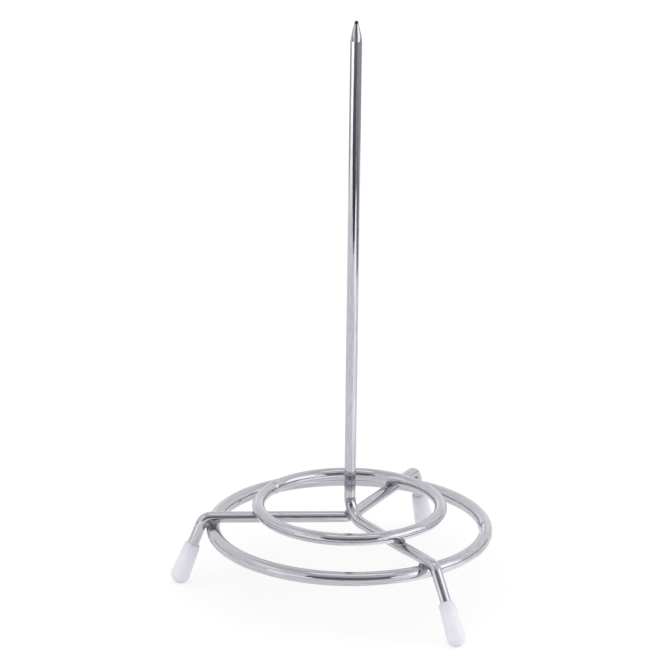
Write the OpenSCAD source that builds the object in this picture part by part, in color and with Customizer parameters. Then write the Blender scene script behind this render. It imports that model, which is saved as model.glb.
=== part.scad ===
// Ticket spike: a wire stand that paper orders are pushed down onto.
// Millimetres, +Z up. The origin is on the table, straight below the spike.

/* [Spike] */
// Diameter of the wire of the spike and the legs
wire_d = 3.2; // [2.6:0.1:4.4]
// Height of the tip above the table
overall_h = 164; // [120:1:220]
// Length of the four ground facets of the point
point_len = 6; // [3:0.5:12]
// Width of the blunt end of the point
point_flat = 0.5; // [0.3:0.1:1.2]
// Turn of the point's ridges about the spike
point_turn = 63; // [0:1:89]
// Radius of the bend from the spike to the front leg, on the wire's centre line
hub_bend_r = 6.5; // [5:0.5:12]
// Swell of the wire in a bend, on its radius
bend_swell = 0.02; // [0.02:0.01:0.1]

/* [Legs] */
// Height of the legs' centre line above the table
leg_h = 19.5; // [17:0.5:30]
// Angle between the two legs of the leg pair
pair_angle = 120; // [100:1:140]
// Radius of the bend between the two legs of the pair, on the centre line
pair_bend_r = 3.5; // [2.5:0.5:8]
// Radius of the bend from a leg to its foot, on the centre line
foot_bend_r = 3.2; // [2.6:0.1:5]
// Lean of the front foot from upright
front_splay_angle = 33.5; // [15:0.5:40]
// Lean of the two feet of the pair from upright
pair_splay_angle = 21; // [15:0.5:40]
// Extra length of the front leg past the place where its foot clears the outer ring
front_overhang = 2.7; // [0.1:0.1:6]
// Extra length of the pair's legs past the place where their feet clear the outer ring
pair_overhang = 0.1; // [0.1:0.1:6]

/* [Rings] */
// Diameter of the outer ring, on the centre line of its wire
outer_ring_d = 77; // [66:0.5:110]
// Wire of the outer ring
outer_wire_d = 4; // [3:0.1:5]
// Diameter of the inner ring, on the centre line of its wire
inner_ring_d = 51.5; // [36:0.5:60]
// Wire of the inner ring
inner_wire_d = 3.5; // [2.6:0.1:5]
// Place of the outer ring's closing weld, as an angle from +X
outer_joint_angle = -7; // [-40:1:40]
// Place of the inner ring's closing weld, as an angle from +X
inner_joint_angle = 144; // [80:1:160]
// Length along the wire that the outer ring is ground over at its closing weld
outer_joint_len = 7.4; // [4:0.2:12]
// Length of the inner ring's closing weld along the wire
inner_joint_len = 2.6; // [1.5:0.1:5]
// Depth that the outer ring's closing weld is ground away on the ring's inner side
outer_joint_grind = 0.35; // [0.1:0.05:0.8]
// Height that the inner ring's closing weld stands above the wire
inner_joint_bead = 0.22; // [0.05:0.01:0.5]

/* [Welds] */
// Depth that two crossing wires sink into each other when welded
weld_set = 0.2; // [0.1:0.05:0.5]
// Reach of a weld bead past the leg's wire
weld_fillet = 0.5; // [0.3:0.05:0.8]

/* [Foot caps] */
// Length of a foot cap
cap_len = 12.7; // [11:0.1:15]
// Wall of a foot cap at its rim
cap_wall = 0.62; // [0.4:0.02:1]
// Growth of a foot cap from its rim to its round end, on the radius
cap_swell = 0.5; // [0.2:0.05:1]
// Depth of the wire inside a foot cap
cap_grip = 8.5; // [5:0.5:9]
// Clearance between a foot cap's bore and the wire, on the radius
cap_clearance = 0.03; // [0.01:0.01:0.1]
// Depth of the flat that the round end stands on
cap_sole_depth = 0.25; // [0.1:0.05:0.5]

/* [Hidden] */
$fn = 96;

// Radii of the wires and of the rings' centre lines
wire_r = wire_d / 2;
outer_wire_r = outer_wire_d / 2;
inner_wire_r = inner_wire_d / 2;
outer_ring_r = outer_ring_d / 2;
inner_ring_r = inner_ring_d / 2;

// Radii of a foot cap: its bore, its rim, the rounding of its rim and its round end
cap_bore_r = wire_r + cap_clearance;
cap_rim_r = cap_bore_r + cap_wall;
cap_lip_r = (cap_rim_r - wire_r) / 2;
cap_r = cap_rim_r + cap_swell;

// Directions of the legs: the pair opens away from the front leg, and its left leg lies along -X
left_at = 180;
pair_at = left_at - pair_angle / 2;
front_at = pair_at + 180;

// The outer ring is welded under the legs, the inner ring on top of them
outer_ring_z = leg_h - (wire_r + outer_wire_r - weld_set);
inner_ring_z = leg_h + (wire_r + inner_wire_r - weld_set);

// The pair's bend leans on the back of the spike's bend and sinks in by the weld's depth
pair_apex = sqrt(pow(hub_bend_r + wire_d - weld_set, 2) - pow(hub_bend_r, 2)) - hub_bend_r;
pair_bend_centre = pair_apex + pair_bend_r;
pair_vertex = pair_bend_centre - pair_bend_r / sin(pair_angle / 2);
pair_tangent = pair_bend_r / tan(pair_angle / 2);

// Reach of a leg to its foot bend's corner: the bend starts at the ring's crown, the foot clears the ring
function bend_tangent(splay) = foot_bend_r * tan((90 - splay) / 2);
function beside_ring(splay) =
    (wire_r + outer_wire_r - (wire_r + outer_wire_r - weld_set) * sin(splay)) / cos(splay);
function leg_reach(splay, overhang) =
    outer_ring_r + max(bend_tangent(splay), beside_ring(splay)) + overhang;
front_reach = leg_reach(front_splay_angle, front_overhang);
pair_reach = leg_reach(pair_splay_angle, pair_overhang) - pair_vertex * cos(pair_angle / 2);

// Distances along a foot from the corner of its bend
function cap_ball_at(splay) = (leg_h - cap_r + cap_sole_depth) / cos(splay);
function cap_rim_at(splay) = cap_ball_at(splay) + cap_r - cap_len;
function foot_end_at(splay) = cap_rim_at(splay) + cap_grip;

// The cap's cone meets its round end in a tangent
cap_cone_h = cap_len - cap_r - cap_lip_r;
cap_cone_a = asin(cap_r / norm([cap_rim_r, cap_cone_h])) - atan(cap_rim_r / cap_cone_h);

// Beads of weld metal
bead_r = wire_r + weld_fillet;

// Length that a straight stretch of wire runs into its bend
run_in = wire_d / 16;

// Side of the table that the caps' round ends are cut flat on
table_size = 4 * outer_ring_d;

// Grinding angle of the point's facets
facet_lean = atan((wire_r - point_flat / 2) / point_len);

// A bend of the leg wire in the XZ plane, from one angle over a sweep
module wire_bend(r, from, sweep) {
    rotate([90, 0, 0])
        rotate([0, 0, from])
            rotate_extrude(angle = sweep)
                translate([r, 0])
                    circle(r = wire_r + bend_swell);
}

// Straight leg along +X from a start to its foot bend, then down to the end inside the cap
module leg_and_foot(start, reach, splay) {
    tangent = bend_tangent(splay);
    translate([start - run_in, 0, leg_h])
        rotate([0, 90, 0])
            cylinder(d = wire_d, h = reach - tangent - start + 2 * run_in);
    translate([reach - tangent, 0, leg_h - foot_bend_r])
        wire_bend(foot_bend_r, splay, 90 - splay);
    along_foot(reach, splay, tangent - run_in)
        cylinder(d = wire_d, h = foot_end_at(splay) - tangent + run_in);
}

// Moves its children to a place on a foot's axis, with +Z towards the table
module along_foot(reach, splay, at) {
    translate([reach + at * sin(splay), 0, leg_h - at * cos(splay)])
        rotate([0, 180 - splay, 0])
            children();
}

// One facet of the point, as the metal that grinding takes away
module point_facet() {
    translate([point_flat / 2, 0, overall_h])
        rotate([0, -facet_lean, 0])
            translate([0, -wire_d, -2 * point_len])
                cube([2 * wire_d, 2 * wire_d, 4 * point_len]);
}

module spike_shape() {
    rotate([0, 0, front_at]) {
        translate([hub_bend_r, 0, leg_h + hub_bend_r])
            wire_bend(hub_bend_r, 180, 90);
        leg_and_foot(hub_bend_r, front_reach, front_splay_angle);
    }
    difference() {
        translate([0, 0, leg_h + hub_bend_r - run_in])
            cylinder(d = wire_d, h = overall_h - leg_h - hub_bend_r + run_in);
        for (side = [0 : 3])
            rotate([0, 0, point_turn + 90 * side])
                point_facet();
    }
}

module pair_shape() {
    half = pair_angle / 2;
    rotate([0, 0, pair_at]) {
        translate([pair_bend_centre, 0, leg_h])
            rotate([0, 0, 90 + half])
                rotate_extrude(angle = 180 - pair_angle)
                    translate([pair_bend_r, 0])
                        circle(r = wire_r + bend_swell);
        for (side = [-1, 1])
            translate([pair_vertex, 0, 0])
                rotate([0, 0, side * half])
                    leg_and_foot(pair_tangent, pair_reach, pair_splay_angle);
    }
}

module plain_ring(r, d) {
    rotate_extrude()
        translate([r, 0])
            circle(d = d);
}

// The stretch of a ring at its closing weld, with a section of its own
module ring_joint(r, length, at) {
    joint_a = 2 * asin(length / 2 / r);
    rotate([0, 0, at - joint_a / 2])
        rotate_extrude(angle = joint_a)
            translate([r, 0])
                children();
}

module cap_shape(reach, splay) {
    difference() {
        along_foot(reach, splay, cap_rim_at(splay))
            difference() {
                union() {
                    translate([0, 0, cap_lip_r])
                        rotate_extrude()
                            translate([cap_rim_r - cap_lip_r, 0])
                                circle(r = cap_lip_r);
                    translate([0, 0, cap_lip_r])
                        cylinder(r1 = cap_rim_r, r2 = cap_r * cos(cap_cone_a),
                                 h = cap_cone_h - cap_r * sin(cap_cone_a));
                    translate([0, 0, cap_len - cap_r])
                        sphere(r = cap_r);
                }
                translate([0, 0, -cap_len])
                    cylinder(r = cap_bore_r, h = cap_len + cap_grip);
            }
        translate([0, 0, -cap_len])
            linear_extrude(cap_len)
                square(table_size, center = true);
    }
}

module spike_wire() {
    color("silver") spike_shape();
}

module leg_pair_wire() {
    color("silver")
        difference() {
            pair_shape();
            spike_shape();
        }
}

module inner_ring() {
    color("silver")
        difference() {
            translate([0, 0, inner_ring_z]) {
                plain_ring(inner_ring_r, inner_wire_d);
                ring_joint(inner_ring_r, inner_joint_len, inner_joint_angle)
                    circle(r = inner_wire_r + inner_joint_bead);
            }
            spike_shape();
            pair_shape();
        }
}

module outer_ring() {
    color("silver")
        difference() {
            translate([0, 0, outer_ring_z])
                plain_ring(outer_ring_r, outer_wire_d);
            translate([0, 0, outer_ring_z])
                ring_joint(outer_ring_r, outer_joint_len, outer_joint_angle)
                    difference() {
                        circle(d = 2 * outer_wire_d);
                        translate([outer_joint_grind, 0])
                            circle(d = outer_wire_d);
                    }
            spike_shape();
            pair_shape();
        }
}

module front_foot_cap() {
    color("ghostwhite")
        rotate([0, 0, front_at])
            cap_shape(front_reach, front_splay_angle);
}

module pair_foot_cap(side) {
    color("ghostwhite")
        rotate([0, 0, pair_at])
            translate([pair_vertex, 0, 0])
                rotate([0, 0, side * pair_angle / 2])
                    cap_shape(pair_reach, pair_splay_angle);
}

module left_foot_cap() {
    pair_foot_cap(1);
}

module rear_foot_cap() {
    pair_foot_cap(-1);
}

// The bead in the corner between the spike's bend and the pair's bend
module hub_weld() {
    touch_r = hub_bend_r + wire_r - weld_set / 2;
    touch_a = atan2(-hub_bend_r, hub_bend_r + pair_apex);
    color("gray")
        difference() {
            rotate([0, 0, pair_at])
                translate([touch_r * cos(touch_a) - hub_bend_r, 0,
                           leg_h + hub_bend_r + touch_r * sin(touch_a)])
                    sphere(r = bead_r);
            spike_shape();
            pair_shape();
        }
}

// Where a ring of radius r crosses the three legs, with +X along the leg
module at_crossings(r) {
    slide = pair_vertex * sin(pair_angle / 2);
    along = sqrt(pow(r, 2) - pow(slide, 2));
    rotate([0, 0, front_at])
        translate([r, 0, 0])
            children();
    for (side = [-1, 1])
        rotate([0, 0, pair_at + side * pair_angle / 2])
            translate([along, -side * slide, 0])
                children();
}

module inner_ring_welds() {
    color("gray")
        difference() {
            at_crossings(inner_ring_r)
                translate([0, 0, leg_h + wire_r - weld_set / 2])
                    sphere(r = bead_r);
            spike_shape();
            pair_shape();
            translate([0, 0, inner_ring_z])
                plain_ring(inner_ring_r, inner_wire_d);
        }
}

module outer_ring_welds() {
    color("gray")
        difference() {
            at_crossings(outer_ring_r)
                translate([0, 0, leg_h - wire_r + weld_set / 2])
                    sphere(r = bead_r);
            spike_shape();
            pair_shape();
            translate([0, 0, outer_ring_z])
                plain_ring(outer_ring_r, outer_wire_d);
        }
}

spike_wire();
leg_pair_wire();
inner_ring();
outer_ring();
front_foot_cap();
left_foot_cap();
rear_foot_cap();
hub_weld();
inner_ring_welds();
outer_ring_welds();
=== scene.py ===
import math

import bpy
from mathutils import Matrix, Vector


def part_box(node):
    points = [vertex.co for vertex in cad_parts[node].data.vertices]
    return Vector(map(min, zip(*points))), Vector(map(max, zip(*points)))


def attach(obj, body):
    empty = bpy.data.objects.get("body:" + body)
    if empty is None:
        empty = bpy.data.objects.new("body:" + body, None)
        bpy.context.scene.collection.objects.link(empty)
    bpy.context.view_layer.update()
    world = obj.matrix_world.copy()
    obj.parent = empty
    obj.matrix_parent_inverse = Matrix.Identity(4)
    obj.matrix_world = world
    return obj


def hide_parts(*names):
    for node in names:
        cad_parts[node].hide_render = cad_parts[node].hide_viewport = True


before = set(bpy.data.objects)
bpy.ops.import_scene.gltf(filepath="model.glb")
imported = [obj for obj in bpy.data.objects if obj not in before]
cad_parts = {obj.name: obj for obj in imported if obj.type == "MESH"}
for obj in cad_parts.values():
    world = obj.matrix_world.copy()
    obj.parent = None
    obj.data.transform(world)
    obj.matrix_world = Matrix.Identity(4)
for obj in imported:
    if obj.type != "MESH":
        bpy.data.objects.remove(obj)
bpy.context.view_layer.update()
print("frame loaded:", len(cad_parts), "nodes")

mm = 0.001
up = Vector((0, 0, 1))


# Small steps that every piece is modelled with

def clearSelection():
    bpy.ops.object.select_all(action="DESELECT")


def startRing(name, radius, centre, facing, sides):
    clearSelection()
    bpy.ops.mesh.primitive_circle_add(
        vertices=sides,
        radius=radius * mm,
        location=centre * mm,
        rotation=facing.to_track_quat("Z", "Y").to_euler(),
    )
    piece = bpy.context.active_object
    piece.name = name
    piece.data.name = name
    bpy.ops.object.transform_apply(location=True, rotation=True, scale=True)
    section = piece.data.attributes.new("section", "FLOAT_VECTOR", "POINT")  # extrusions carry it along
    for index, place in enumerate(section.data):
        around = 2 * math.pi * index / sides
        place.vector = (math.cos(around), math.sin(around), 0)
    bpy.ops.object.mode_set(mode="EDIT")
    bpy.ops.mesh.select_mode(type="VERT")
    bpy.ops.mesh.select_all(action="SELECT")
    return piece


def runStraight(step):
    bpy.ops.mesh.extrude_region_move(TRANSFORM_OT_translate={"value": step * mm})


def runBend(centre, axis, angle, steps):
    bpy.ops.mesh.spin(steps=steps, angle=-angle, center=centre * mm, axis=axis)  # spin counts clockwise


def resizeRing(factor, centre):
    bpy.ops.transform.resize(value=(factor, factor, factor), center_override=centre * mm)


def selectWhere(piece, test):
    bpy.ops.mesh.select_all(action="DESELECT")
    bpy.ops.object.mode_set(mode="OBJECT")
    for vertex in piece.data.vertices:
        vertex.select = test(vertex.co / mm)
    bpy.ops.object.mode_set(mode="EDIT")


def closeMesh(piece, smoothAngle, seam=0.0002):
    bpy.ops.mesh.select_all(action="SELECT")
    bpy.ops.mesh.remove_doubles(threshold=seam * mm)
    bpy.ops.mesh.fill_holes(sides=0)
    bpy.ops.mesh.select_all(action="SELECT")
    bpy.ops.mesh.normals_make_consistent(inside=False)
    bpy.ops.object.mode_set(mode="OBJECT")
    bpy.ops.object.shade_smooth_by_angle(angle=smoothAngle)


def finishPiece(piece, material, slot, *nodes):
    piece.data.materials.clear()
    piece.data.materials.append(material)
    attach(piece, "root")
    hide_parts(*nodes)
    lowest = min(vertex.co.z for vertex in piece.data.vertices) / mm
    print("made", piece.name, "with", len(piece.data.polygons), "faces, lowest at", round(lowest, 3), "mm")


# Finishes

def newMaterial(name):
    material = bpy.data.materials.new(name)
    material.use_nodes = True
    nodes = material.node_tree.nodes
    shader = nodes["Principled BSDF"]
    place = nodes.new("ShaderNodeTexCoord")
    return material, nodes, material.node_tree.links, shader, place.outputs["Object"]


def addNoise(nodes, links, place, scale, detail):
    noise = nodes.new("ShaderNodeTexNoise")
    noise.inputs["Scale"].default_value = scale
    noise.inputs["Detail"].default_value = detail
    links.new(place, noise.inputs["Vector"])
    return noise.outputs["Fac"]


def addRamp(nodes, links, factor, dark, light):
    ramp = nodes.new("ShaderNodeValToRGB")
    first, last = ramp.color_ramp.elements
    first.position, last.position = 0.3, 0.7  # noise seldom leaves this range
    first.color = (*dark, 1)
    last.color = (*light, 1)
    links.new(factor, ramp.inputs["Fac"])
    return ramp.outputs["Color"]


def addRange(nodes, links, factor, low, high):
    spread = nodes.new("ShaderNodeMapRange")
    spread.inputs["To Min"].default_value = low
    spread.inputs["To Max"].default_value = high
    links.new(factor, spread.inputs["Value"])
    return spread.outputs["Result"]


def addBump(nodes, links, shader, height, depth, strength):
    bump = nodes.new("ShaderNodeBump")
    bump.inputs["Strength"].default_value = strength
    bump.inputs["Distance"].default_value = depth * mm
    links.new(height, bump.inputs["Height"])
    links.new(bump.outputs["Normal"], shader.inputs["Normal"])


chromeLook = {
    "dark": (0.42, 0.42, 0.458),
    "light": (0.575, 0.575, 0.62),
    "grainScale": 2600.0,    # fine grain under the plate
    "grainDetail": 3,
    "roughLow": 0.03,
    "roughHigh": 0.09,
    "lineScale": 7.0,        # drawing lines around the wire's section
    "lineDetail": 4,
    "lineLength": 40.0,
    "lineDepth": 0.02,       # mm
    "lineStrength": 0.5,
    "darkEndFrom": 163.0,       # mm, the end of the point is coloured near-black from here up
    "darkEndTo": 163.4,
    "darkEndColour": (0.05, 0.05, 0.055),
}


def chromePlate():
    look = chromeLook
    material, nodes, links, shader, place = newMaterial("chromePlate")
    shader.inputs["Metallic"].default_value = 1.0
    grain = addNoise(nodes, links, place, look["grainScale"], look["grainDetail"])
    section = nodes.new("ShaderNodeAttribute")
    section.attribute_name = "section"
    drawn = nodes.new("ShaderNodeVectorMath")
    drawn.operation = "MULTIPLY_ADD"
    drawn.inputs[1].default_value = (look["lineLength"],) * 3
    links.new(place, drawn.inputs[0])
    links.new(section.outputs["Vector"], drawn.inputs[2])
    lines = addNoise(nodes, links, drawn.outputs["Vector"], look["lineScale"], look["lineDetail"])
    split = nodes.new("ShaderNodeSeparateXYZ")
    links.new(place, split.inputs["Vector"])
    # the last few tenths of a millimetre of the point are coloured near-black
    darkEnd = nodes.new("ShaderNodeMapRange")
    darkEnd.inputs["From Min"].default_value = look["darkEndFrom"] * mm
    darkEnd.inputs["From Max"].default_value = look["darkEndTo"] * mm
    links.new(split.outputs["Z"], darkEnd.inputs["Value"])
    pointEndMix = nodes.new("ShaderNodeMixRGB")
    pointEndMix.inputs["Color2"].default_value = (*look["darkEndColour"], 1)
    links.new(darkEnd.outputs["Result"], pointEndMix.inputs["Fac"])
    links.new(addRamp(nodes, links, lines, look["dark"], look["light"]), pointEndMix.inputs["Color1"])
    links.new(pointEndMix.outputs["Color"], shader.inputs["Base Color"])
    rough = addRange(nodes, links, grain, look["roughLow"], look["roughHigh"])
    links.new(rough, shader.inputs["Roughness"])
    addBump(nodes, links, shader, lines, look["lineDepth"], look["lineStrength"])
    return material


weldAndShadeLook = {
    # partly painted shade: the weld is coloured far darker than the chrome, partly as dull weld metal and
    # partly as painted shade of the crevices at the crossings
    "dark": (0.10, 0.10, 0.11),
    "light": (0.32, 0.32, 0.345),
    "lumpScale": 900.0,
    "lumpDetail": 5,
    "grainScale": 4200.0,
    "grainDetail": 3,
    "roughLow": 0.22,
    "roughHigh": 0.5,
    "lumpDepth": 0.12,       # mm
    "lumpStrength": 0.5,
}


def dullWeldAndShade():
    look = weldAndShadeLook
    material, nodes, links, shader, place = newMaterial("dullWeldAndShade")
    shader.inputs["Metallic"].default_value = 1.0
    lumps = addNoise(nodes, links, place, look["lumpScale"], look["lumpDetail"])
    grain = addNoise(nodes, links, place, look["grainScale"], look["grainDetail"])
    # painted shade: the colour is darker in the hollows of the lumps, as well as dark overall for the
    # crevice shade
    links.new(addRamp(nodes, links, lumps, look["dark"], look["light"]), shader.inputs["Base Color"])
    rough = addRange(nodes, links, grain, look["roughLow"], look["roughHigh"])
    links.new(rough, shader.inputs["Roughness"])
    addBump(nodes, links, shader, lumps, look["lumpDepth"], look["lumpStrength"])
    return material


vinylLook = {
    "dark": (0.835, 0.835, 0.925),
    "light": (0.87, 0.87, 0.95),
    "rimSeeThroughShade": (0.74, 0.74, 0.81),   # painted shade: greyer at the thin rim, where the wire inside shows through
    "rimFade": 4.0,          # mm
    "mottleScale": 420.0,
    "mottleDetail": 3,
    "grainScale": 3000.0,
    "grainDetail": 2,
    "roughLow": 0.26,
    "roughHigh": 0.4,
    "grainDepth": 0.02,      # mm
    "grainStrength": 0.25,
    "subsurface": 0.6,
    "subsurfaceReach": 0.7,  # mm
    "ior": 1.46,
}


def milkyVinyl():
    look = vinylLook
    material, nodes, links, shader, place = newMaterial("milkyVinyl")
    shader.inputs["Subsurface Weight"].default_value = look["subsurface"]
    shader.inputs["Subsurface Radius"].default_value = (1.0, 1.0, 1.0)
    shader.inputs["Subsurface Scale"].default_value = look["subsurfaceReach"] * mm
    shader.inputs["IOR"].default_value = look["ior"]
    mottle = addNoise(nodes, links, place, look["mottleScale"], look["mottleDetail"])
    grain = addNoise(nodes, links, place, look["grainScale"], look["grainDetail"])
    # painted shade of the wire inside the cap: the colour greys towards the rim over rimFade
    rim = nodes.new("ShaderNodeAttribute")
    rim.attribute_name = "rimDistance"
    fade = nodes.new("ShaderNodeMapRange")
    fade.inputs["From Max"].default_value = look["rimFade"]
    links.new(rim.outputs["Fac"], fade.inputs["Value"])
    vinylWithRimShade = nodes.new("ShaderNodeMixRGB")
    vinylWithRimShade.inputs["Color1"].default_value = (*look["rimSeeThroughShade"], 1)
    links.new(fade.outputs["Result"], vinylWithRimShade.inputs["Fac"])
    links.new(addRamp(nodes, links, mottle, look["dark"], look["light"]), vinylWithRimShade.inputs["Color2"])
    links.new(vinylWithRimShade.outputs["Color"], shader.inputs["Base Color"])
    rough = addRange(nodes, links, grain, look["roughLow"], look["roughHigh"])
    links.new(rough, shader.inputs["Roughness"])
    addBump(nodes, links, shader, grain, look["grainDepth"], look["grainStrength"])
    return material


chrome = chromePlate()
weldMetalAndShade = dullWeldAndShade()
vinyl = milkyVinyl()
print("finishes ready")


# Where the wires run, in millimetres, as the CAD part has them

wires = {
    "radius": 1.6,           # spike and legs
    "sides": 64,
    "bendSteps": 28,
    "hubSteps": 56,
    "smooth": math.radians(30),    # sharper edges stay crisp
    "legHeight": 19.5,       # centre line above the table
    "hubBend": 6.5,
    "footBend": 3.2,
    "pairBend": 3.5,
    "pairAngle": math.radians(120),
    "leftAzimuth": math.radians(180),
    "frontSplay": math.radians(33.5),
    "pairSplay": math.radians(21),
    "frontOverhang": 2.7,
    "pairOverhang": 0.1,
    "weldSet": 0.2,          # crossing wires sink in this far
}

rings = {
    "outer": {"radius": 38.5, "wire": 2.0, "joint": math.radians(-7), "jointLength": 7.4},
    "inner": {"radius": 25.75, "wire": 1.75, "joint": math.radians(144), "jointLength": 2.6},
    "grind": 0.35,           # taken off the outer ring's inner side at its closing weld
    "groundSteps": 8,
    "tick": 0.62,            # deeper cut at each end of the ground stretch
    "tickShare": 0.035,      # width of that cut, as a share of the stretch
    "bead": 0.22,            # height of the inner ring's closing weld
    "beadRise": 1.3,         # how steeply it rises to that height
    "beadSteps": 14,
    "steps": 220,
    "seam": 0.002,           # mm, where the ring's start and end are merged
}

caps = {
    "length": 12.7,
    "bore": 1.63,
    "mouth": 1.603,          # the soft rim closes on the wire
    "rim": 2.25,
    "ball": 2.75,
    "lipLength": 0.9,        # the rim rounds off over this length
    "grip": 8.5,             # wire inside the cap
    "soleDepth": 0.25,
    "soleCut": 0.001,        # mm, the cut's tolerance, finer than the usual tenth
    "sides": 64,
    "arcSteps": 12,
    "endTurn": math.radians(86),   # the round end stops short of its pole
    "smooth": math.radians(40),
}


def direction(azimuth):
    return Vector((math.cos(azimuth), math.sin(azimuth), 0))


def legPlan(azimuth, start, reach, splay):
    out = direction(azimuth)
    foot = out * math.sin(splay) - up * math.cos(splay)
    corner = start + out * reach
    tangent = wires["footBend"] * math.tan((math.pi / 2 - splay) / 2)
    ballAt = (wires["legHeight"] - caps["ball"] + caps["soleDepth"]) / math.cos(splay)
    rimAt = ballAt + caps["ball"] - caps["length"]
    return {
        "out": out,
        "foot": foot,
        "corner": corner,
        "tangent": tangent,
        "reach": reach,
        "rim": corner + foot * rimAt,
        "end": corner + foot * (rimAt + caps["grip"]),
        "bendCentre": corner - out * tangent - up * wires["footBend"],
        "bendAxis": foot.cross(out),
        "bendAngle": math.pi / 2 - splay,
    }


def legReach(splay, overhang):
    ring = rings["outer"]
    apart = wires["radius"] + ring["wire"]
    tangent = wires["footBend"] * math.tan((math.pi / 2 - splay) / 2)
    beside = (apart - (apart - wires["weldSet"]) * math.sin(splay)) / math.cos(splay)
    return ring["radius"] + max(tangent, beside) + overhang


legLevel = up * wires["legHeight"]
halfPair = wires["pairAngle"] / 2
pairAzimuth = wires["leftAzimuth"] - halfPair
frontAzimuth = pairAzimuth + math.pi
pairOut = direction(pairAzimuth)
hubReach = wires["hubBend"] + 2 * wires["radius"] - wires["weldSet"]
pairApex = math.sqrt(hubReach ** 2 - wires["hubBend"] ** 2) - wires["hubBend"]
pairBendAt = pairApex + wires["pairBend"]
pairVertex = pairBendAt - wires["pairBend"] / math.sin(halfPair)
pairTangent = wires["pairBend"] / math.tan(halfPair)
pairStart = legLevel + pairOut * pairVertex
pairReach = legReach(wires["pairSplay"], wires["pairOverhang"]) - pairVertex * math.cos(halfPair)
frontReach = legReach(wires["frontSplay"], wires["frontOverhang"])

front = legPlan(frontAzimuth, legLevel, frontReach, wires["frontSplay"])
left = legPlan(wires["leftAzimuth"], pairStart, pairReach, wires["pairSplay"])
rear = legPlan(pairAzimuth - halfPair, pairStart, pairReach, wires["pairSplay"])

ringLevels = {
    "outer": wires["legHeight"] - (wires["radius"] + rings["outer"]["wire"] - wires["weldSet"]),
    "inner": wires["legHeight"] + (wires["radius"] + rings["inner"]["wire"] - wires["weldSet"]),
}


# Wires

def footToLeg(leg, inwards):
    runStraight(leg["corner"] + leg["foot"] * leg["tangent"] - leg["end"])
    runBend(leg["bendCentre"], leg["bendAxis"], leg["bendAngle"], wires["bendSteps"])
    runStraight(-leg["out"] * (leg["reach"] - leg["tangent"] - inwards))


def legToFoot(leg, inwards):
    runStraight(leg["out"] * (leg["reach"] - leg["tangent"] - inwards))
    runBend(leg["bendCentre"], -leg["bendAxis"], leg["bendAngle"], wires["bendSteps"])
    runStraight(leg["end"] - leg["corner"] - leg["foot"] * leg["tangent"])


point = {
    "length": 5.6,
    "taper": 0.14,           # slope at its base, steeper towards the end
    "end": 0.45,             # radius where the blunt end starts
    "endHeight": 0.25,
    "endTurn": math.radians(80),
    "steps": 10,
    "smooth": math.radians(7),     # keeps the edge at its base
}


def pointStations():
    ground = point["length"] - point["endHeight"]
    swell = (wires["radius"] - point["end"] - point["taper"] * ground) / ground ** 2
    stations = []
    for step in range(1, point["steps"] + 1):
        height = ground * step / point["steps"]
        stations.append((height, wires["radius"] - point["taper"] * height - swell * height ** 2))
    for step in range(1, point["steps"] + 1):
        turn = point["endTurn"] * step / point["steps"]
        rise = point["endHeight"] * math.sin(turn) / math.sin(point["endTurn"])
        stations.append((ground + rise, point["end"] * math.cos(turn)))
    return stations


def grindPoint(base):
    at, size = 0.0, wires["radius"]
    for nextAt, nextSize in pointStations():
        runStraight(up * (nextAt - at))
        resizeRing(nextSize / size, base + up * nextAt)
        at, size = nextAt, nextSize


def makeSpikeWire():
    tip = up * (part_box("spike_wire")[1].z / mm)
    piece = startRing("spikeWire", wires["radius"], front["end"], -front["foot"], wires["sides"])
    footToLeg(front, wires["hubBend"])
    hubCentre = legLevel + (front["out"] + up) * wires["hubBend"]
    runBend(hubCentre, up.cross(front["out"]), math.pi / 2, wires["hubSteps"])
    pointBase = tip - up * point["length"]
    runStraight(pointBase - legLevel - up * wires["hubBend"])
    grindPoint(pointBase)
    closeMesh(piece, point["smooth"])
    finishPiece(piece, chrome, "chrome_wire", "spike_wire")


def makeLegPair():
    piece = startRing("legPairWire", wires["radius"], left["end"], -left["foot"], wires["sides"])
    footToLeg(left, pairTangent)
    turn = (-left["out"]).cross(rear["out"]).normalized()
    runBend(legLevel + pairOut * pairBendAt, turn, math.pi - wires["pairAngle"], wires["bendSteps"])
    legToFoot(rear, pairTangent)
    closeMesh(piece, wires["smooth"])
    finishPiece(piece, chrome, "chrome_wire", "leg_pair_wire")


def startRound(name, which):
    ring = rings[which]
    joint = 2 * math.asin(ring["jointLength"] / 2 / ring["radius"])
    start = direction(joint / 2)
    level = up * ringLevels[which]
    piece = startRing(name, ring["wire"], level + start * ring["radius"], up.cross(start), wires["sides"])
    runBend(level, up, 2 * math.pi - joint, rings["steps"])
    return piece, ring, joint, level


def finishRound(piece, ring, node):
    closeMesh(piece, wires["smooth"], rings["seam"])
    piece.rotation_euler.z = ring["joint"]  # the closing weld was modelled on +X
    bpy.ops.object.transform_apply(location=True, rotation=True, scale=True)
    finishPiece(piece, chrome, "chrome_wire", node)


def makeInnerRing():
    piece, ring, joint, level = startRound("innerRing", "inner")
    grown = 1.0
    for step in range(1, rings["beadSteps"] + 1):
        share = step / rings["beadSteps"]
        runBend(level, up, joint / rings["beadSteps"], 1)
        swell = min(1.0, rings["beadRise"] * math.sin(math.pi * share))
        wanted = 1 + rings["bead"] / ring["wire"] * swell
        resizeRing(wanted / grown, level + direction(joint * (share - 0.5)) * ring["radius"])
        grown = wanted
    finishRound(piece, ring, "inner_ring")


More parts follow.
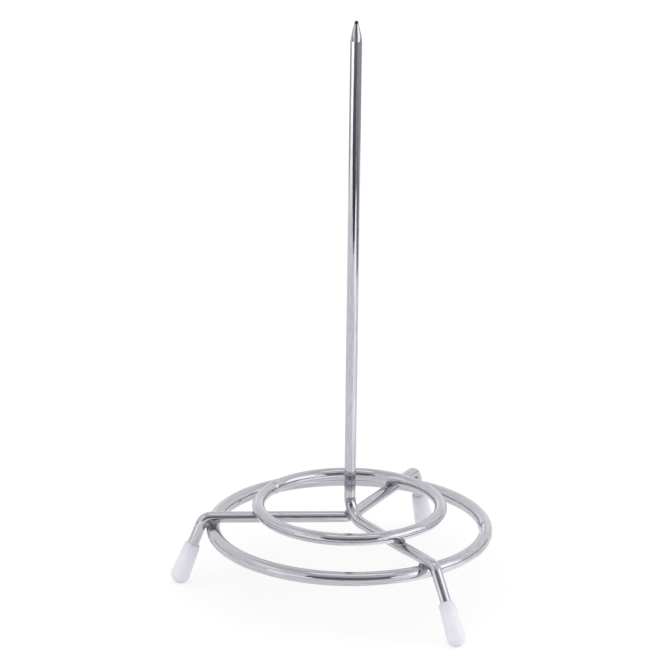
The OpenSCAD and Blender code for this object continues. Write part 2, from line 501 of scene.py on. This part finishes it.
def makeOuterRing():
    piece, ring, joint, level = startRound("outerRing", "outer")
    across = 2 * ring["wire"]
    tick, steps = rings["tickShare"], rings["groundSteps"]
    ground = [tick + (1 - 2 * tick) * step / steps for step in range(steps + 1)]
    cuts = [(tick / 2, "tick"), *((share, "grind") for share in ground), (1 - tick / 2, "tick")]
    reached, thick = 0.0, across
    for share, cut in cuts:
        runBend(level, up, joint * (share - reached), 1)
        rim = level + direction(joint * (share - 0.5)) * (ring["radius"] + ring["wire"])
        wanted = across - rings[cut]
        bpy.ops.transform.resize(value=(wanted / thick, 1, 1), center_override=rim * mm)
        reached, thick = share, wanted

    def besideGap(place):
        share = math.atan2(place.y, place.x) / joint + 0.5
        return 1 - tick * 3 / 4 < share < 1 + tick / 2  # the last cut and the ring's start

    selectWhere(piece, besideGap)
    bpy.ops.mesh.bridge_edge_loops()
    finishRound(piece, ring, "outer_ring")


makeSpikeWire()
makeLegPair()
makeInnerRing()
makeOuterRing()


# Foot caps, modelled once and copied to each foot

def capStations():
    conePitch = caps["length"] - caps["ball"] - caps["lipLength"]
    lean = math.asin(caps["ball"] / math.hypot(caps["rim"], conePitch)) - math.atan(caps["rim"] / conePitch)
    stations = []
    lip = caps["rim"] - caps["mouth"]
    for step in range(caps["arcSteps"] + 1):
        share = step / caps["arcSteps"]
        stations.append((caps["lipLength"] * share, caps["rim"] - lip * (1 - share) ** 2))
    ballAt = caps["length"] - caps["ball"]
    for step in range(2 * caps["arcSteps"] + 1):
        angle = -lean + (caps["endTurn"] + lean) * step / (2 * caps["arcSteps"])
        stations.append((ballAt + caps["ball"] * math.sin(angle), caps["ball"] * math.cos(angle)))
    return stations


def makeCapMaster():
    piece = startRing("capMaster", caps["bore"], up * caps["grip"], up, caps["sides"])
    at, size = caps["grip"], caps["bore"]
    for nextAt, nextSize in capStations():
        runStraight(up * (nextAt - at))
        resizeRing(nextSize / size, up * nextAt)
        at, size = nextAt, nextSize
    closeMesh(piece, caps["smooth"])
    distance = piece.data.attributes.new("rimDistance", "FLOAT", "POINT")
    for vertex, place in zip(piece.data.vertices, distance.data):
        place.value = vertex.co.z / mm
    return piece


def placeCap(master, name, leg, node):
    clearSelection()
    master.select_set(True)
    bpy.context.view_layer.objects.active = master
    bpy.ops.object.duplicate(linked=False)
    piece = bpy.context.active_object
    piece.name = name
    piece.data.name = name
    turn = leg["foot"].to_track_quat("Z", "Y").to_matrix().to_4x4()
    piece.matrix_world = Matrix.Translation(leg["rim"] * mm) @ turn
    bpy.ops.object.transform_apply(location=True, rotation=True, scale=True)
    bpy.ops.object.mode_set(mode="EDIT")
    bpy.ops.mesh.select_all(action="SELECT")
    bpy.ops.mesh.bisect(
        plane_co=(0, 0, 0),
        plane_no=-up,
        use_fill=True,
        clear_outer=True,
        threshold=caps["soleCut"] * mm,
    )
    closeMesh(piece, caps["smooth"])
    finishPiece(piece, vinyl, "cap_plastic", node)


capMaster = makeCapMaster()
placeCap(capMaster, "frontFootCap", front, "front_foot_cap")
placeCap(capMaster, "leftFootCap", left, "left_foot_cap")
placeCap(capMaster, "rearFootCap", rear, "rear_foot_cap")
bpy.data.objects.remove(capMaster)


# Weld beads: stubs of the crossing wires and a lump are joined, remeshed and smoothed into fillets

welds = {
    "stub": 3.6,             # length of each stub
    "slim": 0.06,            # stubs are this much thinner than their wires
    "voxel": 0.11,
    "smooth": 14,            # smoothing passes
    "lump": 0.10,            # height of the weld's ripples
    "lumpSize": 0.9,
    "flatten": 0.85,         # height of a crossing's lump as a share of its width
    "hub": 1.78,             # radius of the hub's bead
    "sides": 48,
}


def addStub(radius, centre, along):
    bpy.ops.mesh.primitive_cylinder_add(
        vertices=welds["sides"],
        radius=(radius - welds["slim"]) * mm,
        depth=welds["stub"] * mm,
        location=centre * mm,
        rotation=along.to_track_quat("Z", "Y").to_euler(),
    )
    return bpy.context.active_object


def addLump(radius, centre, flatten=1.0):
    bpy.ops.mesh.primitive_uv_sphere_add(
        segments=welds["sides"],
        ring_count=welds["sides"] // 2,
        radius=radius * mm,
        location=centre * mm,
    )
    lump = bpy.context.active_object
    lump.scale.z = flatten
    return lump


def fuse(name, parts):
    clearSelection()
    for part in parts:
        part.select_set(True)
    bpy.context.view_layer.objects.active = parts[0]
    bpy.ops.object.join()
    piece = bpy.context.active_object
    piece.name = name
    piece.data.name = name
    bpy.ops.object.transform_apply(location=True, rotation=True, scale=True)
    remesh = piece.modifiers.new("remesh", "REMESH")
    remesh.mode = "VOXEL"
    remesh.voxel_size = welds["voxel"] * mm
    smooth = piece.modifiers.new("smooth", "SMOOTH")
    smooth.iterations = welds["smooth"]
    ripple = bpy.data.textures.new("weldRipple", "CLOUDS")
    ripple.noise_scale = welds["lumpSize"] * mm
    displace = piece.modifiers.new("displace", "DISPLACE")
    displace.texture = ripple
    displace.texture_coords = "LOCAL"
    displace.strength = welds["lump"] * mm
    for modifier in list(piece.modifiers):
        bpy.ops.object.modifier_apply(modifier=modifier.name)
    bpy.ops.object.shade_smooth()
    return piece


crossings = {  # radius of the lump, its distance outwards
    "outer": {"front": (1.75, 0.0), "left": (2.2, 0.8), "rear": (2.0, 0.5)},
    "inner": {"front": (1.62, 0.0), "left": (1.65, 0.0), "rear": (1.5, 0.0)},
}


def crossingBead(which, legName, leg, start):
    ring = rings[which]
    offset = (start - legLevel).dot(up.cross(leg["out"]))
    along = math.sqrt(ring["radius"] ** 2 - offset ** 2)
    middle = leg["out"] * along + up.cross(leg["out"]) * offset
    side = 1 if which == "inner" else -1
    touch = middle + up * (wires["legHeight"] + side * (wires["radius"] - wires["weldSet"] / 2))
    ringCentre = middle + up * ringLevels[which]
    legCentre = middle + legLevel
    tangent = up.cross(middle.normalized())
    size, outwards = crossings[which][legName]
    return [
        addStub(wires["radius"], legCentre - leg["out"] * welds["stub"] / 2, leg["out"]),
        addStub(ring["wire"], ringCentre, tangent),
        addLump(size, touch + leg["out"] * outwards, welds["flatten"]),
    ]


def makeRingWelds(name, which, node):
    legs = {"front": (front, legLevel), "left": (left, pairStart), "rear": (rear, pairStart)}
    beads = []
    for legName, (leg, start) in legs.items():
        beads.append(fuse(name + legName.capitalize(), crossingBead(which, legName, leg, start)))
    clearSelection()
    for bead in beads:
        bead.select_set(True)
    bpy.context.view_layer.objects.active = beads[0]
    bpy.ops.object.join()
    piece = bpy.context.active_object
    piece.name = name
    piece.data.name = name
    finishPiece(piece, weldMetalAndShade, "plated_weld", node)


def makeHubWeld():
    touchReach = wires["hubBend"] + wires["radius"] - wires["weldSet"] / 2
    touchAngle = math.atan2(-wires["hubBend"], wires["hubBend"] + pairApex)
    touch = legLevel + pairOut * (touchReach * math.cos(touchAngle) - wires["hubBend"])
    touch += up * (wires["hubBend"] + touchReach * math.sin(touchAngle))
    piece = fuse("hubWeld", [addLump(welds["hub"], touch)])
    finishPiece(piece, weldMetalAndShade, "plated_weld", "hub_weld")


makeRingWelds("innerRingWelds", "inner", "inner_ring_welds")
makeRingWelds("outerRingWelds", "outer", "outer_ring_welds")
makeHubWeld()


# Studio: a white sheet, soft light and the dark room that the chrome mirrors

studio = {
    "skyLevel": 0.9,         # light from all round, for the shading of the object
    "sheetSize": 6.0,
    "sheetDark": (0.86, 0.86, 0.865),
    "sheetLight": (0.87, 0.87, 0.875),
    "paperScale": 40.0,
    "paperDetail": 3,
    "sheetRough": 0.9,
    "seenColour": (0.5, 0.5, 0.5),   # where the sheet is seen or mirrored, a glow lifts it to white
    "seenGlow": 0.555,
}


def seenOrMirrored(nodes, links):
    path = nodes.new("ShaderNodeLightPath")
    seen = path.outputs["Is Camera Ray"]
    for ray in ("Is Glossy Ray", "Is Transmission Ray"):
        either = nodes.new("ShaderNodeMath")
        either.operation = "MAXIMUM"
        links.new(seen, either.inputs[0])
        links.new(path.outputs[ray], either.inputs[1])
        seen = either.outputs["Value"]
    return seen


def makeWorld():
    world = bpy.data.worlds.new("studioWorld")
    bpy.context.scene.world = world
    world.use_nodes = True
    nodes, links = world.node_tree.nodes, world.node_tree.links
    background = nodes["Background"]
    background.inputs["Color"].default_value = (1, 1, 1, 1)
    level = addRange(nodes, links, seenOrMirrored(nodes, links), studio["skyLevel"], 1.0)
    links.new(level, background.inputs["Strength"])


def makeSheet():
    clearSelection()
    bpy.ops.mesh.primitive_plane_add(size=studio["sheetSize"], location=(0, 0, 0))
    sheet = bpy.context.active_object
    sheet.name = "sheet"
    material, nodes, links, shader, place = newMaterial("sheetPaper")
    paper = addNoise(nodes, links, place, studio["paperScale"], studio["paperDetail"])
    seen = seenOrMirrored(nodes, links)
    tone = nodes.new("ShaderNodeMixRGB")
    tone.inputs["Color2"].default_value = (*studio["seenColour"], 1)
    links.new(seen, tone.inputs["Fac"])
    pale = addRamp(nodes, links, paper, studio["sheetDark"], studio["sheetLight"])
    links.new(pale, tone.inputs["Color1"])
    links.new(tone.outputs["Color"], shader.inputs["Base Color"])
    shader.inputs["Roughness"].default_value = studio["sheetRough"]
    shader.inputs["Specular IOR Level"].default_value = 0.0
    shader.inputs["Emission Color"].default_value = (1, 1, 1, 1)
    links.new(addRange(nodes, links, seen, 0.0, studio["seenGlow"]), shader.inputs["Emission Strength"])
    sheet.data.materials.append(material)


cards = {  # centre, size, (tilt about X, turn about Z), (glow at the lower edge, at the upper edge)
    "tableNear": ((-0.088, -0.415, 0.001), (0.48, 0.2), (0, 3.6), (0.19, 0.03)),
    "tableFar": ((-0.072, -1.103, 0.001), (0.52, 1.2), (0, 2.1), (0.19, 0.19)),
    "tableRight": ((0.425, -0.963, 0.001), (0.45, 1.4), (0, 4.6), (0.43, 0.41)),
    "tableLeft": ((-0.465, -0.18, 0.001), (0.36, 0.32), (0, -69), (3.0, 1.22)),
    "sheetRight": ((0.339, -0.111, 0.002), (0.12, 0.5), (0, 2), (0.28, 0.28)),
    "farRight": ((0.579, -0.097, 0.001), (0.4, 0.7), (0, 2), (0.48, 0.48)),
    "backRight": ((0.55, 0.6, 0.001), (0.55, 0.75), (0, -40), (0.51, 0.51)),
    "backLeft": ((-0.55, 0.5, 0.001), (0.45, 0.75), (0, 45), (0.57, 0.57)),
    "backMiddle": ((-0.02, 0.72, 0.001), (0.5, 0.7), (0, 0), (0.14, 0.34)),
    "backNear": ((0.0, 0.31, 0.001), (0.2, 0.34), (0, 0), (0.4, 0.12)),
    "sheetGlare": ((0.13, -0.091, 0.001), (0.05, 0.3), (0, 55), (1.48, 1.37)),
    "spikeGlare": ((0.156, -0.09, 0.002), (0.16, 0.16), (0, 60), (1.5, 1.4)),
    "edgeGlare": ((0.192, -0.246, 0.003), (0.125, 0.115), (0, 38), (1.82, 1.82)),
    "leftPanel": ((-0.45, -0.4, 0.05), (0.4, 0.1), (90, -48), (1.75, 1.6)),
    "leftSide": ((-1.1, -0.05, 0.55), (2.1, 1.1), (90, 90), (1.08, 0.9)),
    "leftWindow": ((-0.85, -0.2, 0.73), (0.55, 0.5), (90, 77), (1.2, 1.2)),
    "leftTop": ((-0.7, 0.1, 1.3), (2.2, 0.894), (26.6, 90), (0.75, 0.8)),
    "rightSide": ((1.1, 0.35, 0.45), (1.5, 0.9), (90, 90), (0.93, 1.08)),
    "rightWindow": ((0.804, -0.277, 0.43), (0.74, 0.6), (90, 71), (1.77, 1.94)),
    "rightLow": ((0.546, -0.651, 0.2), (0.3, 0.3), (90, 40), (1.6, 1.5)),
    "rightTop": ((0.7, 0.1, 1.2), (2.2, 1.0), (-36.9, 90), (0.84, 0.84)),
    "frontLow": ((0, -1.0, 0.225), (1.5, 0.45), (90, 0), (0.48, 0.09)),
    "frontHigh": ((0, -1.0, 0.725), (1.5, 0.55), (90, 0), (0.09, 0.57)),
    "canopy": ((0, -0.625, 1.225), (1.5, 0.875), (31, 0), (0.57, 0.91)),
    "overhead": ((0, -0.1, 1.45), (1.2, 0.4), (0, 0), (1.6, 1.6)),
    "backTop": ((0, 0.56, 1.15), (1.6, 1.05), (-34.3, 0), (0.57, 1.08)),
    "backdropRight": ((0.42, 1.5, 0.3), (0.6, 0.6), (90, 0), (1.12, 1.12)),
    "backdropLeft": ((-0.42, 1.5, 0.3), (0.6, 0.6), (90, 0), (1.12, 1.12)),
    "rightSkirt": ((1.05, 0.35, 0.11), (1.5, 0.1), (90, 90), (0.34, 0.34)),
    "leftSkirt": ((-1.05, 0.25, 0.11), (1.5, 0.1), (90, 90), (0.4, 0.4)),
}


def makeCard(name, plan):
    clearSelection()
    bpy.ops.mesh.primitive_plane_add(size=1.0, location=(0, 0, 0))
    card = bpy.context.active_object
    card.name = name
    centre, size, (tilt, about), brightness = plan
    turn = Matrix.Rotation(math.radians(about), 4, "Z") @ Matrix.Rotation(math.radians(tilt), 4, "X")
    card.matrix_world = Matrix.Translation(centre) @ turn @ Matrix.Diagonal((*size, 1, 1))
    material = bpy.data.materials.new(name + "Glow")
    material.use_nodes = True
    nodes, links = material.node_tree.nodes, material.node_tree.links
    nodes.remove(nodes["Principled BSDF"])
    glow = nodes.new("ShaderNodeEmission")
    place = nodes.new("ShaderNodeTexCoord")
    split = nodes.new("ShaderNodeSeparateXYZ")
    links.new(place.outputs["Object"], split.inputs["Vector"])
    spread = nodes.new("ShaderNodeMapRange")
    spread.inputs["From Min"].default_value = -0.5  # the plane's own edges
    spread.inputs["From Max"].default_value = 0.5
    spread.inputs["To Min"].default_value, spread.inputs["To Max"].default_value = brightness
    links.new(split.outputs["Y"], spread.inputs["Value"])
    links.new(spread.outputs["Result"], glow.inputs["Strength"])
    links.new(glow.outputs["Emission"], nodes["Material Output"].inputs["Surface"])
    card.data.materials.append(material)
    card.visible_camera = False  # only the chrome sees the cards
    card.visible_diffuse = False
    card.visible_shadow = False
    card.visible_transmission = False


lamps = {  # azimuth from the camera's side to the right, elevation, distance and size in metres, brightness
    "rightSoftbox": {"azimuth": 78, "elevation": 25, "distance": 1.15, "size": (0.8, 0.8), "bright": 0.7},
    "leftSoftbox": {"azimuth": -75, "elevation": 50, "distance": 1.3, "size": (0.8, 0.8), "bright": 0.42},
}


def makeLamp(name, plan):
    azimuth, elevation = math.radians(plan["azimuth"]), math.radians(plan["elevation"])
    level = math.cos(elevation)
    back = Vector((math.sin(azimuth) * level, -math.cos(azimuth) * level, math.sin(elevation)))
    data = bpy.data.lights.new(name, "AREA")
    data.shape = "RECTANGLE"
    data.size, data.size_y = plan["size"]
    data.energy = plan["bright"] * math.pi * data.size * data.size_y  # watts for that brightness
    lamp = bpy.data.objects.new(name, data)
    lamp.location = back * plan["distance"]
    lamp.rotation_euler = back.to_track_quat("Z", "Y").to_euler()
    lamp.visible_camera = False
    lamp.visible_glossy = False  # the chrome mirrors the cards instead
    bpy.context.scene.collection.objects.link(lamp)


makeWorld()
makeSheet()
for cardName, cardPlan in cards.items():
    makeCard(cardName, cardPlan)
for lampName, lampPlan in lamps.items():
    makeLamp(lampName, lampPlan)
print("studio ready")


# Camera at the photograph's view

view = {
    "distance": 1.2,
    "elevation": math.radians(18.92),
    "yaw": math.radians(2.683),    # the stand is turned this far about its spike
    "roll": math.radians(0.72),
    "target": Vector((-5.46, 0, 74.37)) * mm,
    "scale": 3.591,                # picture points per millimetre at the target
    "pictureSide": 665,
    "sensor": 36.0,
    "nearest": 0.05,
    "farthest": 20.0,
}


def makeCamera():
    data = bpy.data.cameras.new("camera")
    camera = bpy.data.objects.new("camera", data)
    bpy.context.scene.collection.objects.link(camera)
    data.sensor_width = view["sensor"]
    data.lens = view["scale"] / mm * view["distance"] / view["pictureSide"] * view["sensor"]
    data.clip_start, data.clip_end = view["nearest"], view["farthest"]
    back = Vector((0, -math.cos(view["elevation"]), math.sin(view["elevation"])))
    right = Vector((1, 0, 0))
    high = back.cross(right)
    rolledRight = right * math.cos(view["roll"]) + high * math.sin(view["roll"])
    rolledHigh = high * math.cos(view["roll"]) - right * math.sin(view["roll"])
    axes = Matrix((rolledRight, rolledHigh, back)).transposed().to_4x4()
    standing = Matrix.Rotation(-view["yaw"], 4, "Z")
    camera.matrix_world = standing @ Matrix.Translation(view["target"] + back * view["distance"]) @ axes
    bpy.context.scene.camera = camera


makeCamera()
bpy.context.scene.view_settings.view_transform = "Standard"
print("camera ready")
